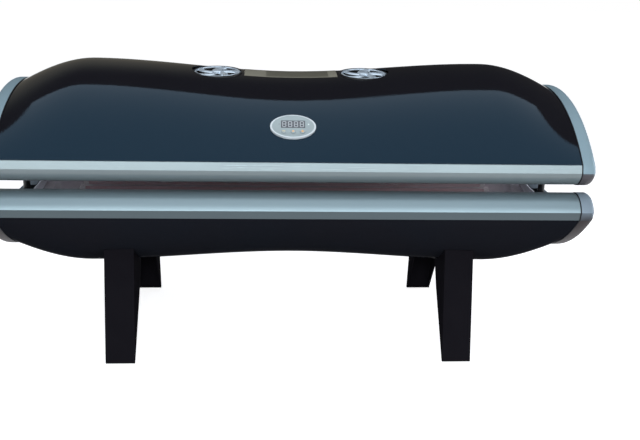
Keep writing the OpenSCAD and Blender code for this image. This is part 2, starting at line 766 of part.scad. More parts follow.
module panel_board() {
    switch_r = 4;
    color("#23603a") panel_frame() {
        translate([-post_x - 6, -post_y - 9, board_top - board_wall])
            cube([2 * post_x + 12, 2 * post_y + 18, board_wall]);
        for (k = [-1 : 1]) translate([k * button_pitch, button_y, board_top])
            cylinder(h = 5.7, r = switch_r, $fn = 24);
    }
}
module button(k) {
    panel_frame() translate([k * button_pitch, button_y, 0]) {
        translate([0, 0, button_travel])
            cylinder(h = face_top + 2 - button_travel, r = button_r, $fn = round_small);
        translate([0, 0, button_travel])
            cylinder(h = face_top - face_wall - button_travel - seat, r = button_r + 2, $fn = round_small);
    }
}
module button_minus() { color("#d9a55c") button(-1); }
module button_start() { color("#d9a55c") button(0); }
module button_plus() { color("#d9a55c") button(1); }

// Hinges behind the rear rails
strap = 8;
pin_head = 5;
module knuckle() { translate([hinge_y, hinge_z]) circle(r = knuckle_r, $fn = round_small); }
module hinge_bores(r) {
    bar_x(-hinge_width, 2 * hinge_width, r, hinge_y, hinge_z);
}
bench_rear_y = half_depth;
canopy_rear_y = half_depth + canopy_setback;
bench_crease_z = bench_edge_height + band_height;
canopy_crease_z = canopy_edge_height - band_height;
module bench_leaf() {
    ear = hinge_width * 0.3;
    slope = band_lean / band_height;
    difference() {
        union() {
            along_x(hinge_width) polygon([
                [bench_rear_y + seat - band_lean, bench_edge_height],
                [bench_rear_y + seat, bench_crease_z],
                [bench_rear_y + seat + 6, bench_crease_z + 14],
                [bench_rear_y + seat + 6 + strap, bench_crease_z + 10],
                [bench_rear_y + seat + strap, bench_crease_z - 4],
                [bench_rear_y + seat + strap - band_lean - slope, bench_edge_height - 4]]);
            for (s = [-1, 1]) translate([s * (hinge_width - ear) / 2, 0, 0]) along_x(ear) {
                knuckle();
                polygon([
                    [bench_rear_y + seat + 5, bench_crease_z + 10],
                    [hinge_y - knuckle_r + 2, hinge_z],
                    [hinge_y + 2, hinge_z - knuckle_r + 1],
                    [bench_rear_y + seat + 6 + strap, bench_crease_z + 8]]);
            }
        }
        hinge_bores(pin_diameter / 2 + 0.01);
    }
}
module canopy_leaf() {
    ear = hinge_width * 0.4 - 2 * seat;
    difference() {
        union() {
            along_x(hinge_width) polygon([
                [canopy_rear_y + seat - band_lean, canopy_edge_height],
                [canopy_rear_y + seat, canopy_crease_z],
                [canopy_rear_y + seat + 1, canopy_crease_z - 14],
                [canopy_rear_y + seat + 1 + strap, canopy_crease_z - 12],
                [canopy_rear_y + seat + strap, canopy_crease_z + 2],
                [canopy_rear_y + seat + strap - band_lean, canopy_edge_height + 2]]);
            along_x(ear) {
                knuckle();
                polygon([
                    [canopy_rear_y + seat + 1, canopy_crease_z - 12],
                    [canopy_rear_y + seat + 1 + strap, canopy_crease_z - 10],
                    [hinge_y + knuckle_r - 1, hinge_z + 2],
                    [hinge_y - knuckle_r + 3, hinge_z + 6]]);
            }
        }
        hinge_bores(pin_diameter / 2 + running);
    }
}
module both_hinges() { whole_place() for (s = [-1, 1]) translate([s * hinge_place, 0, 0]) children(); }
module hinge_leaves_bench() { color("#2a2c30") both_hinges() bench_leaf(); }
module hinge_leaves_canopy() { color("#2a2c30") both_hinges() canopy_leaf(); }
module hinge_pins() {
    color("#b8bcc2") both_hinges() {
        bar_x(-hinge_width / 2 - 1, hinge_width + 2, pin_diameter / 2, hinge_y, hinge_z);
        for (s = [-1, 1]) translate([s * (hinge_width / 2 + pin_head / 2 + seat), 0, 0])
            bar_x(-pin_head / 2, pin_head, pin_diameter / 2 + 3, hinge_y, hinge_z);
    }
}

// Gas springs: a tube on the bench, a rod on the canopy, in line at every opening
tube_r = tube_diameter / 2;
rod_r = rod_diameter / 2;
eye_r = stud_diameter / 2 + 8;
eye_width = 16;
tube_top = 460;
tube_bore_r = tube_r - 3;
guide_length = 20;
rod_reach = 470;
module eye(z) {
    difference() {
        bar_x(spring_x - eye_width / 2, eye_width, eye_r, 0, z);
        bar_x(spring_x - eye_width, 2 * eye_width, stud_diameter / 2 + running, 0, z);
    }
}
module gas_spring_tube() {
    eye(spring_foot_height);
    translate([spring_x, 0, spring_foot_height]) difference() {
        translate([0, 0, eye_r - 3]) cylinder(h = tube_top - eye_r + 3, r = tube_r, $fn = round_small);
        translate([0, 0, eye_r + 6])
            cylinder(h = tube_top - eye_r - 6 - guide_length, r = tube_bore_r, $fn = round_small);
        translate([0, 0, eye_r + 7]) cylinder(h = tube_top, r = rod_r + 0.6, $fn = round_small);
        bar_x(-eye_width, 2 * eye_width, stud_diameter / 2 + running, 0, 0);
    }
}
module gas_spring_rod() {
    eye(spring_top_height);
    translate([spring_x, 0, spring_top_height]) difference() {
        union() {
            translate([0, 0, -rod_reach]) cylinder(h = rod_reach - eye_r + 3, r = rod_r, $fn = round_small);
            translate([0, 0, -rod_reach]) cylinder(h = 8, r = tube_bore_r - 1, $fn = round_small);
            translate([0, 0, -eye_r - 8]) cylinder(h = 10, r = rod_r + 3, $fn = round_small);
        }
        bar_x(-eye_width, 2 * eye_width, stud_diameter / 2 + running, 0, 0);
    }
}
module stud(z) {
    low = shell_half - bulkhead_wall - 4;
    head = 4;
    far = spring_x + eye_width / 2 + seat;
    bar_x(low, far - low + head, stud_diameter / 2, 0, z);
    bar_x(far, head, stud_diameter / 2 + 3, 0, z);
    bar_x(low - 4 + seat, 8 - 2 * seat, stud_diameter / 2 + 4, 0, z);
    bar_x(shell_half + seat, 4, stud_diameter / 2 + 4, 0, z);
}
module gas_spring_tube_left() { color("#17171a") whole_place() side_of(-1) gas_spring_tube(); }
module gas_spring_tube_right() { color("#17171a") whole_place() side_of(1) gas_spring_tube(); }
module gas_spring_rod_left() { color("#b4bac0") whole_place() side_of(-1) gas_spring_rod(); }
module gas_spring_rod_right() { color("#b4bac0") whole_place() side_of(1) gas_spring_rod(); }
module studs(z) { whole_place() for (s = [-1, 1]) side_of(s) stud(z); }
module spring_studs_bench() { color("#9aa0a6") studs(spring_foot_height); }
module spring_studs_canopy() { color("#9aa0a6") studs(spring_top_height); }

// Legs: folded sheet with a leaning face, two tapering sides and a curved top flange
seat_centre_z = bench_edge_height - leg_seat_z;
flange_in_r = leg_seat_r + seat;
leg_top = bench_edge_height - 60;
leg_meet = seat_centre_z - sqrt(leg_seat_r * leg_seat_r - leg_top_reach * leg_top_reach);
leg_lean = (foot_reach - leg_top_reach) / leg_meet;
function face_y(z) = -foot_reach + leg_lean * z;
leg_knee = [face_y(knee_height) + knee_depth, knee_height];
leg_back = [leg_knee[0] + 75, knee_height + 135];

// Cylinder that follows the shell's underside over a leg
module seat_cylinder(r) {
    translate([leg_mid, 0, seat_centre_z]) rotate([0, leg_seat_tilt, 0]) rotate([0, 90, 0])
        cylinder(h = 2 * leg_width, r = r, center = true, $fn = 4 * round_big);
}
module leg_side() {
    polygon([[face_y(pad_thickness), pad_thickness], [face_y(pad_thickness) + foot_depth, pad_thickness],
        leg_knee, leg_back, [leg_back[0] + 40, leg_top], [face_y(leg_top), leg_top]]);
}
module leg_upper() {
    polygon([[face_y(knee_height), knee_height], leg_knee, leg_back,
        [leg_back[0] + 40, leg_top], [face_y(leg_top), leg_top]]);
}
module leg_face() {
    polygon([[face_y(pad_thickness), pad_thickness], [face_y(pad_thickness) + leg_sheet, pad_thickness],
        [face_y(leg_top) + leg_sheet, leg_top], [face_y(leg_top), leg_top]]);
}
module leg(side, front) {
    color("#1c1c20") difference() {
        whole_place() scale([side, -front, 1]) difference() {
            union() {
                from_x(leg_place, leg_width) leg_face();
                from_x(leg_place, leg_sheet) leg_side();
                from_x(leg_place + leg_width - leg_sheet, leg_sheet) leg_side();
                translate([leg_place, face_y(pad_thickness), pad_thickness])
                    cube([leg_width, foot_depth, leg_sheet]);
                intersection() {
                    from_x(leg_place, leg_width) leg_upper();
                    seat_cylinder(flange_in_r + leg_sheet);
                }
            }
            seat_cylinder(flange_in_r);
        }
        bench_place() leg_bolt_places([side], [front])
            translate([0, 0, -20]) cylinder(h = 40, r = bolt_hole_r, $fn = round_small);
    }
}
module leg_front_left() { leg(-1, -1); }
module leg_front_right() { leg(1, -1); }
module leg_rear_left() { leg(-1, 1); }
module leg_rear_right() { leg(1, 1); }
module leg_bolts() {
    shank = 22;
    color("#8f949a") bench_place() leg_bolt_places() {
        translate([0, 0, -shank + leg_sheet])
            cylinder(h = shank + 2 * seat + 1, r = bolt_r, $fn = round_small);
        translate([0, 0, leg_sheet + 2 * seat]) cylinder(h = 5.5, r = 7.5, $fn = 6);
    }
}
module foot_pads() {
    color("#0f0f10") whole_place() for (s = [-1, 1]) for (f = [-1, 1]) scale([s, f, 1])
        translate([leg_place, -face_y(pad_thickness) - foot_depth, 0])
            cube([leg_width, foot_depth, pad_thickness]);
}

bench_shell();
bench_front_rail();
bench_rear_rail();
bench_end_cap_left();
bench_end_cap_right();
bench_bulkhead_left();
bench_bulkhead_right();
bench_rib_left();
bench_rib_right();
bench_reflector();
bench_lamps();
bench_lamp_holders();
bench_acrylic();
bench_ballast_box();
power_gland();
canopy_shell();
canopy_front_rail();
canopy_rear_rail();
canopy_end_cap_left();
canopy_end_cap_right();
canopy_bulkhead_left();
canopy_bulkhead_right();
canopy_rib_left();
canopy_rib_right();
canopy_reflector();
canopy_lamps();
canopy_lamp_holders();
canopy_acrylic();
canopy_ballast_boxes();
top_cover();
top_plate();
fan_housing_left();
fan_housing_right();
fan_motor_left();
fan_motor_right();
fan_impeller_left();
fan_impeller_right();
fan_grille_left();
fan_grille_right();
panel_bezel();
display_window();
panel_board();
button_minus();
button_start();
button_plus();
hinge_leaves_bench();
hinge_leaves_canopy();
hinge_pins();
gas_spring_tube_left();
gas_spring_tube_right();
gas_spring_rod_left();
gas_spring_rod_right();
spring_studs_bench();
spring_studs_canopy();
leg_front_left();
leg_front_right();
leg_rear_left();
leg_rear_right();
leg_bolts();
foot_pads();
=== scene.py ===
from math import radians, sin, cos, asin, atan2, pi
import bpy
from mathutils import Matrix, Vector


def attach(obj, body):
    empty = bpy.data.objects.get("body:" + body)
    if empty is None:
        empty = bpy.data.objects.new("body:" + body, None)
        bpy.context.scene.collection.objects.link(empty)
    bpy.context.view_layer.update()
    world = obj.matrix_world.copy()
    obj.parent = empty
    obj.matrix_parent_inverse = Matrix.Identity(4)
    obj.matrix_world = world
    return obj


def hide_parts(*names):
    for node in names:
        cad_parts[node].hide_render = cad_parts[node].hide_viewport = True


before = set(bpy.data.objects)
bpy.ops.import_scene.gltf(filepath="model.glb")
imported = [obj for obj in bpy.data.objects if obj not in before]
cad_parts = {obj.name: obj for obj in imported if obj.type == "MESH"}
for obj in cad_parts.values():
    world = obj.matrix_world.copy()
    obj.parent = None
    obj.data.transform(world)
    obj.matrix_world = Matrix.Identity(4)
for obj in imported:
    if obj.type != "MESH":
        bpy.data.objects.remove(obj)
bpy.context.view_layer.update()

# CAMERA
# Stands 3.5 m in front of the bed and 1.4 m above the floor, a little to the left of the bed's
# middle, and looks down at it by 15 degrees.
camera = bpy.data.objects.new("camera", bpy.data.cameras.new("camera"))
bpy.context.collection.objects.link(camera)
camera.data.lens = 48.375
camera.data.sensor_width = 36
camera.data.sensor_fit = "HORIZONTAL"
EYE = (-0.1050, -3.5066, 1.3840)
turn, down, lean = 0.0679, 0.2612, 0.0222
ahead = Vector((sin(turn) * cos(down), cos(turn) * cos(down), -sin(down)))
right = ahead.cross(Vector((0, 0, 1))).normalized()
up = right.cross(ahead)
across = cos(lean) * right + sin(lean) * up
upright = -sin(lean) * right + cos(lean) * up
camera.matrix_world = Matrix.Translation(EYE) @ Matrix((across, upright, -ahead)).transposed().to_4x4()
bpy.context.scene.camera = camera
bpy.context.scene.view_settings.view_transform = "Standard"


# STUDIO
# A white floor, soft lamps above, in front of and beside the bed, and a room that the glossy
# shells reflect: white at the horizon, with a pale wall on the left and a dark ceiling.
class Value:
    """A socket of a finish, on which plain arithmetic adds the Math nodes."""

    def __init__(self, finish, socket):
        self.finish, self.socket = finish, socket

    def __add__(self, other):
        return self.finish.maths("ADD", self, other)

    def __mul__(self, other):
        return self.finish.maths("MULTIPLY", self, other)

    __radd__, __rmul__ = __add__, __mul__


class Finish:
    """A material, or the world, in the making. Every node in it is added by the method node."""

    def __init__(self, name, constants=(), world=None):
        self.owner = world or bpy.data.materials.new(name)
        self.owner.use_nodes = True
        self.tree = self.owner.node_tree
        self.shader = self.tree.nodes["Background" if world else "Principled BSDF"]
        for socket, value in dict(constants).items():
            self.give(socket, value)

    def node(self, kind, settings, inputs, output=0):
        made = self.tree.nodes.new("ShaderNode" + kind)
        for name, value in settings.items():
            setattr(made, name, value)
        for socket, value in inputs.items():
            self.join(value, made.inputs[socket])
        return Value(self, made.outputs[output])

    def join(self, value, socket):
        if isinstance(value, Value):
            self.tree.links.new(value.socket, socket)
        else:
            socket.default_value = value

    def give(self, socket, value):
        self.join(value, self.shader.inputs[socket])

    def maths(self, operation, a, b):
        return self.node("Math", {"operation": operation}, {0: a, 1: b})

    def clamp(self, value, low, high):
        """0 up to low, 1 from high on, and a soft step between them."""
        return self.node("MapRange", {"interpolation_type": "SMOOTHSTEP"},
                         {"Value": value, "From Min": low, "From Max": high})

    def blend(self, amount, a, b):
        return self.node("Mix", {"data_type": "RGBA"}, {0: amount, 6: a, 7: b}, 2)

    def part(self, vector, axis):
        return self.node("SeparateXYZ", {}, {0: vector}, axis)

    def seen_by(self, *kinds):
        """1 for rays of these kinds, and 0 for the others."""
        seen = 0
        for kind in kinds:
            seen = self.maths("MAXIMUM", seen, self.node("LightPath", {}, {}, "Is " + kind + " Ray"))
        return seen

    def place(self, stretch=(1, 1, 1)):
        here = self.node("TexCoord", {}, {}, "Object")
        return self.node("VectorMath", {"operation": "MULTIPLY"}, {0: here, 1: stretch})

    def noise(self, scale, detail=2, stretch=(1, 1, 1)):
        return self.node("TexNoise", {}, {"Vector": self.place(stretch), "Scale": scale, "Detail": detail})

    def cells(self, scale):
        return self.node("TexVoronoi", {}, {"Vector": self.place(), "Scale": scale})

    def bump(self, height, depth):
        self.give("Normal", self.node("Bump", {}, {"Height": height, "Distance": depth}))


def shade(red, green, blue):
    return (red, green, blue, 1)


WHITE = shade(1, 1, 1)
world = bpy.data.worlds.new("room")
bpy.context.scene.world = world
room = Finish("room", world=world)
heading = room.node("TexCoord", {}, {}, "Generated")
height = room.part(heading, "Z")
on_the_left = room.clamp(room.part(heading, "X"), 0.12, -0.14)
above_floor = room.clamp(height, 0.02, 0.06)
near_ceiling = room.clamp(height, 0.45, 0.80)
wall = room.blend(on_the_left, shade(0.028, 0.027, 0.028), shade(0.17, 0.158, 0.13))
view = room.blend(above_floor, WHITE, wall)
view = room.blend(near_ceiling, view, shade(0.02, 0.018, 0.022))
light = room.blend(room.seen_by("Glossy", "Transmission"), shade(0.28, 0.29, 0.32), view)
room.give("Color", room.blend(room.seen_by("Camera"), light, WHITE))


def deselect():
    bpy.ops.object.select_all(action="DESELECT")


deselect()
bpy.ops.mesh.primitive_plane_add(size=160)
floor = bpy.context.object
floor.name = "studio_floor"
ground = Finish("pale_floor", {"Roughness": 0.8, "Specular IOR Level": 0.1, "Emission Strength": 1.0})
ground.give("Base Color", ground.blend(ground.noise(2.0, 4),
                                       shade(0.86, 0.86, 0.86), shade(0.84, 0.84, 0.85)))
ground.give("Emission Color", ground.blend(ground.seen_by("Camera", "Glossy", "Transmission"),
                                           shade(0, 0, 0), shade(0.78, 0.78, 0.78)))
floor.data.materials.append(ground.owner)


def soft_lamp(name, place, aim, width, height, power, colour):
    lamp = bpy.data.objects.new(name, bpy.data.lights.new(name, "AREA"))
    bpy.context.collection.objects.link(lamp)
    lamp.data.shape, lamp.data.size, lamp.data.size_y = "RECTANGLE", width, height
    lamp.data.energy, lamp.data.color = power, colour
    lamp.location = place
    lamp.rotation_euler = (Vector(aim) - Vector(place)).to_track_quat("-Z", "Y").to_euler()
    return lamp


soft_lamp("ceiling_lamp", (0.02, -1.47, 3.6), (0.02, -1.47, 0), 5.46, 4.76, 92, (0.90, 0.96, 1.0))
soft_lamp("front_lamp", (0, -6.2, 2.9), (0, 0, 0.8), 9.0, 1.3, 155, (0.92, 0.97, 1.0))
soft_lamp("high_front_lamp", (0, -5.46, 4.09), (0, -0.55, 0.65), 9.0, 1.5, 85, (0.92, 0.97, 1.0))
soft_lamp("left_lamp", (-3.3, -0.3, 1.3), (-0.8, 0, 0.62), 1.2, 1.0, 3, (1.0, 0.97, 0.96))
soft_lamp("right_lamp", (3.3, -0.3, 1.3), (0.8, 0, 0.62), 1.2, 1.0, 28, (1.0, 0.96, 0.96))
camera_lamp = soft_lamp("camera_lamp", (-0.1, -3.75, 1.55), (0, 0, 0.75), 0.6, 0.4, 28, (0.97, 0.98, 1.0))
camera_lamp.visible_glossy = False


# LEGS
# Four splayed legs of folded 4 mm steel sheet, powder coated near black, each bolted through its
# curved top flange to a rib inside the bench and standing on a rubber pad.
def pick(piece):
    """Makes one piece the only selected one, and the active one."""
    deselect()
    piece.select_set(True)
    bpy.context.view_layer.objects.active = piece


def edit(piece):
    """Opens one piece for editing, with all of it selected."""
    pick(piece)
    bpy.ops.object.mode_set(mode="EDIT")
    bpy.ops.mesh.select_mode(type="VERT")
    bpy.ops.mesh.select_all(action="SELECT")


def close_edit():
    bpy.ops.object.mode_set(mode="OBJECT")


def modifier(piece, kind, **settings):
    """Adds one modifier to the piece and applies it."""
    pick(piece)
    made = piece.modifiers.new(kind.lower(), kind)
    for name, value in settings.items():
        setattr(made, name, value)
    bpy.ops.object.modifier_apply(modifier=made.name)


def smooth(piece, angle):
    pick(piece)
    bpy.ops.object.shade_smooth_by_angle(angle=radians(angle))


def clad(finish, *pieces):
    """Gives the finish to new pieces, or to the nodes of those names."""
    for piece in pieces:
        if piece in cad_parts:
            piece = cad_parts[piece]
        else:
            piece.data.materials.clear()
        if not piece.data.materials:
            piece.data.materials.append(finish.owner)
        for place in piece.material_slots:
            place.material = finish.owner


MERGE = 0.00002


def dressed(node, body, finish, bevel=0.0, angle=30, flat=1.0):
    """A copy of a node with its facets merged, its edges broken and its rounds smoothed."""
    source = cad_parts[node]
    piece = source.copy()
    piece.data = source.data.copy()
    piece.name = node + "_finished"
    bpy.context.collection.objects.link(piece)
    edit(piece)
    bpy.ops.mesh.customdata_custom_splitnormals_clear()
    bpy.ops.mesh.remove_doubles(threshold=MERGE)
    bpy.ops.mesh.dissolve_limited(angle_limit=radians(flat))
    close_edit()
    if bevel:
        modifier(piece, "BEVEL", width=bevel, segments=2, limit_method="ANGLE",
                 angle_limit=radians(angle), use_clamp_overlap=True, miter_outer="MITER_ARC")
    smooth(piece, angle)
    clad(finish, piece)
    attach(piece, body)
    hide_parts(node)


def powder_coat(name, colour, other, rough, level=0.4):
    """A fine-grained coat or moulding, slightly cloudy in colour and gloss."""
    coat = Finish(name, {"Specular IOR Level": level})
    coat.give("Base Color", coat.blend(coat.noise(9, 4), shade(*colour), shade(*other)))
    coat.give("Roughness", rough + 0.16 * coat.noise(14, 3))
    coat.bump(coat.noise(900, 2) + 0.3 * coat.noise(160, 2), 0.00012)
    return coat


black_coat = powder_coat("powder_coated_steel", (0.0068, 0.0063, 0.0084), (0.0092, 0.0085, 0.0108),
                         0.34, 0.00003)
for corner in ("front_left", "front_right", "rear_left", "rear_right"):
    dressed("leg_" + corner, "bench", black_coat, 0.0012, 32)

rubber = Finish("rubber", {"Specular IOR Level": 0.3})
rubber.give("Base Color", rubber.blend(rubber.noise(60, 3),
                                       shade(0.008, 0.008, 0.008), shade(0.02, 0.02, 0.019)))
rubber.give("Roughness", 0.6 + 0.2 * rubber.noise(40, 2))
rubber.bump(rubber.noise(1200, 2), 0.0002)
dressed("foot_pads", "bench", rubber, 0.0008)

zinc = Finish("zinc_plated_steel", {"Metallic": 1.0})
zinc.give("Base Color", zinc.blend(zinc.cells(420), shade(0.55, 0.56, 0.57), shade(0.68, 0.68, 0.66)))
zinc.give("Roughness", 0.28 + 0.2 * zinc.noise(180, 3))
clad(zinc, "leg_bolts")

# RIBS
# Two welded steel ribs in each half, coated with grey primer, stiffen its shell; those in the
# bench carry the legs' load. Black steel boxes on the reflectors' backs hold the lamps' ballasts.
primer = powder_coat("grey_primer", (0.10, 0.105, 0.115), (0.14, 0.145, 0.155), 0.5)
clad(primer, "bench_rib_left", "bench_rib_right", "canopy_rib_left", "canopy_rib_right")
clad(black_coat, "bench_ballast_box", "canopy_ballast_boxes")

# BENCH SHELL
# One vacuum-formed moulding of glossy plastic sheet hangs between the bench's rails: a round arc
# from rail to rail, which swells towards both ends and falls away to the end caps.
SHELL_END = 1.045
SHELL_HALF = 0.517
SHELL_WALL = 0.004
SWELL_AT = 0.780
END_FALL = 0.55
BENCH_RISES = (0.247, 0.284, 0.209)
BENCH_PLACE = (0, -0.0235, 0.592)


def crown(x, middle, peak, end):
    """Height of a shell's arc at the place x along the bed."""
    far = abs(x)
    if far <= SWELL_AT:
        part = far / SWELL_AT
        return middle + (peak - middle) * part * part * (3 - 2 * part)
    run = SHELL_END - SWELL_AT
    part = (far - SWELL_AT) / run
    return peak + (end - peak) * part * part * (3 - 2 * part) - END_FALL * run * (part ** 3 - part ** 2)


def add_point(place):
    """Adds one loose point to the mesh that is open, and leaves only it selected."""
    bpy.ops.mesh.select_all(action="DESELECT")
    bpy.ops.mesh.primitive_plane_add(size=0.01)
    bpy.ops.mesh.merge(type="CENTER")
    bpy.ops.transform.translate(value=place)


def new_mesh(name):
    """A new empty piece, open for editing."""
    deselect()
    bpy.ops.mesh.primitive_plane_add(size=0.01)
    piece = bpy.context.object
    piece.name = name
    edit(piece)
    bpy.ops.mesh.delete(type="VERT")
    return piece


def flip():
    bpy.ops.mesh.flip_normals()


def close_outward(piece, axis, side):
    """Turns an open sheet's faces to that side of the axis, and closes the piece."""
    bpy.ops.mesh.select_all(action="SELECT")
    bpy.ops.mesh.normals_make_consistent(inside=False)
    close_edit()
    if side * sum(face.normal[axis] for face in piece.data.polygons) < 0:
        edit(piece)
        flip()
        close_edit()


def shell(name, rises, rings=96, steps=48):
    """A shell, crown up: an arc is spun at every ring, and the arcs are bridged."""
    piece = new_mesh(name)
    for ring in range(rings + 1):
        x = SHELL_END * (2 * ring / rings - 1)
        rise = crown(x, *rises)
        radius = (SHELL_HALF ** 2 + rise ** 2) / (2 * rise)
        half = asin(SHELL_HALF / radius)
        add_point((x, SHELL_HALF, 0))
        bpy.ops.mesh.spin(steps=steps, angle=-2 * half, center=(x, 0, rise - radius), axis=(1, 0, 0))
    bpy.ops.mesh.select_all(action="SELECT")
    bpy.ops.mesh.bridge_edge_loops(type="SINGLE")
    close_outward(piece, 2, 1)
    modifier(piece, "SOLIDIFY", thickness=SHELL_WALL, offset=-1)
    return piece


def gloss_sheet(name, colour, other, tint, level):
    """Glossy formed sheet: slight orange peel, faint wipe marks, a little dust."""
    sheet = Finish(name, {"Specular IOR Level": level, "Specular Tint": shade(*tint)})
    dust = sheet.clamp(sheet.noise(700, 1), 0.72, 0.80)
    cloud = sheet.blend(sheet.noise(2.2, 3), shade(*colour), shade(*other))
    sheet.give("Base Color", sheet.blend(0.10 * dust, cloud, shade(0.35, 0.34, 0.32)))
    wipes = sheet.clamp(sheet.noise(3.0, 5, (1, 5, 2)), 0.45, 0.75)
    sheet.give("Roughness", 0.05 + 0.05 * wipes + 0.10 * dust)
    sheet.bump(sheet.noise(170, 1) + 2.0 * sheet.noise(9, 1), 0.00008)
    return sheet


def fitted(piece, finish, angle, body, node=None):
    """Smooths and clads a new piece, and puts it on its body in place of its node."""
    smooth(piece, angle)
    clad(finish, piece)
    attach(piece, body)
    if node:
        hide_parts(node)


bench_gloss = gloss_sheet("bench_gloss_sheet", (0.0078, 0.0105, 0.0150), (0.0110, 0.0098, 0.0122),
                          (0.6, 0.8, 1.0), 0.00003)
bench_skin = shell("bench_shell_skin", BENCH_RISES)
edit(bench_skin)
bpy.ops.transform.resize(value=(1, 1, -1), center_override=(0, 0, 0))
flip()
bpy.ops.transform.translate(value=BENCH_PLACE)
close_edit()
fitted(bench_skin, bench_gloss, 40, "bench", "bench_shell")

# CANOPY SHELL
# The same sheet in dark slate blue, with two round wells for the fans, a long opening for the
# service cover on top and an oval opening for the control panel in front.
CANOPY_RISES = (0.271, 0.314, 0.230)
CANOPY_PLACE = (0, 0.0015, 0.792)
FAN_X, FAN_Y, FAN_Z = 0.289, -0.0735, 1.07172
FAN_TILT = asin(0.12251)
WELL_RADIUS = 0.098
PANEL_PLACE = (0, -0.4185, 0.90211)
PANEL_TILT = radians(41.9202)
PANEL_HOLE = (0.0833, 0.0533, 1)
COVER_PLACE, COVER_HOLE = (0, -0.0285, 1.063), (0.367, 0.183, 0.06)
canopy_gloss = gloss_sheet("canopy_gloss_sheet", (0.0068, 0.0064, 0.0082), (0.0082, 0.0078, 0.0100),
                           (0.18, 0.60, 1.0), 0.5)
canopy_skin = shell("canopy_shell_skin", CANOPY_RISES)
edit(canopy_skin)
bpy.ops.transform.translate(value=CANOPY_PLACE)
close_edit()


def cut(piece, tool):
    modifier(piece, "BOOLEAN", operation="DIFFERENCE", solver="EXACT", object=tool)
    bpy.data.objects.remove(tool)


for side in (-1, 1):
    deselect()
    bpy.ops.mesh.primitive_cylinder_add(vertices=128, radius=WELL_RADIUS, depth=0.08,
                                        location=(side * FAN_X, FAN_Y, FAN_Z), rotation=(FAN_TILT, 0, 0))
    cut(canopy_skin, bpy.context.object)
deselect()
bpy.ops.mesh.primitive_cylinder_add(vertices=96, radius=1, depth=0.04, location=PANEL_PLACE,
                                    rotation=(PANEL_TILT, 0, 0), scale=PANEL_HOLE)
cut(canopy_skin, bpy.context.object)
deselect()
bpy.ops.mesh.primitive_cube_add(size=1, location=COVER_PLACE, scale=COVER_HOLE)
cut(canopy_skin, bpy.context.object)
fitted(canopy_skin, canopy_gloss, 40, "canopy", "canopy_shell")

# RAILS
# Extruded aluminium rails, anodised silver, close the long edges: a leaning band, a crease and a
# round nose that turns under to carry the acrylic. The four are cut from one extrusion.
RAIL_START = (-SHELL_END, -0.485, 0)
FLANGE, BAND, LIP = (0, -0.032, 0), (0, -0.008, -0.030), (0, 0.020, 0)
NOSE_CENTRE, NOSE_TURN = (-SHELL_END, -0.450, -0.00636), atan2(0.075, 0.02364)
RAIL_WALL = 0.003
ALONG = (6, 900, 900)


def anodised(name, colour, other, rough, grain, metallic=0.85, painted_shade_below=None):
    """Anodised aluminium with fine lines; below a crease its colour may be darkened by a tone as painted
    shade, and its shine may differ.
    """
    metal = Finish(name, {"Metallic": metallic, "Specular IOR Level": 0.5})
    lines = metal.noise(1.0, 3, grain)
    face = metal.blend(lines * 0.6 + 0.4 * metal.noise(3, 3), shade(*colour), shade(*other))
    if painted_shade_below:
        crease, shade_tone, shine = painted_shade_below
        # Painted shade: the colour under the crease is darkened, so the lower faces look shaded.
        clear_of_painted_shade = metal.clamp(metal.part(metal.place(), "Z"), crease - 0.0008, crease + 0.0008)
        face = metal.blend(clear_of_painted_shade, shade(*[shade_tone * part for part in other]), face)
        if shine != metallic:
            metal.give("Metallic", shine + (metallic - shine) * clear_of_painted_shade)
    metal.give("Base Color", face)
    metal.give("Roughness", rough + 0.12 * metal.noise(1.0, 4, grain) + 0.06 * metal.noise(5, 3))
    metal.bump(lines, 0.00002)
    return metal


def extrude(step):
    bpy.ops.mesh.extrude_region_move(TRANSFORM_OT_translate={"value": step})


def draw(start, steps):
    """Draws a line of points in the mesh that is open, and leaves the last one selected."""
    add_point(start)
    for step in steps:
        extrude(step)


def extrude_along_bed():
    bpy.ops.mesh.select_all(action="SELECT")
    extrude((2 * SHELL_END, 0, 0))


def copied(piece, name, stretch=(1, 1, 1), move=(0, 0, 0)):
    """A copy with its own mesh, stretched, mirrored where stretch has a -1, then moved."""
    twin = piece.copy()
    twin.data = piece.data.copy()
    twin.name = name
    bpy.context.collection.objects.link(twin)
    edit(twin)
    bpy.ops.transform.resize(value=stretch, center_override=(0, 0, 0))
    if stretch[0] * stretch[1] * stretch[2] < 0:
        flip()
    bpy.ops.transform.translate(value=move)
    close_edit()
    return twin


# Below the crease each rail's colour is darkened as painted shade: the bench rail's lower band and the canopy
# rail's nose.
canopy_silver = anodised("canopy_rail_silver", (0.19, 0.235, 0.25), (0.225, 0.275, 0.29),
                         0.16, ALONG, 0.5, (0.7620, 0.62, 0.12))
bench_silver = anodised("bench_rail_silver", (0.205, 0.275, 0.31), (0.235, 0.31, 0.345),
                        0.22, ALONG, 0.6, (0.6220, 0.25, 0.6))
rail = new_mesh("rail")
draw(RAIL_START, (FLANGE, BAND))
bpy.ops.mesh.spin(steps=28, angle=-NOSE_TURN, center=NOSE_CENTRE, axis=(1, 0, 0))
extrude(LIP)
extrude_along_bed()
bpy.ops.mesh.select_all(action="SELECT")
bpy.ops.mesh.remove_doubles(threshold=MERGE)
close_outward(rail, 1, -1)
modifier(rail, "SOLIDIFY", thickness=RAIL_WALL, offset=-1, use_even_offset=True)
for name, finish, stretch, place in (
        ("bench_front_rail", bench_silver, (1, 1, -1), BENCH_PLACE),
        ("bench_rear_rail", bench_silver, (1, -1, -1), BENCH_PLACE),
        ("canopy_front_rail", canopy_silver, (1, 1, 1), CANOPY_PLACE),
        ("canopy_rear_rail", canopy_silver, (1, -1, 1), CANOPY_PLACE)):
    piece = copied(rail, name + "_extrusion", stretch, place)
    fitted(piece, finish, 25, name.split("_")[0], name)
bpy.data.objects.remove(rail)
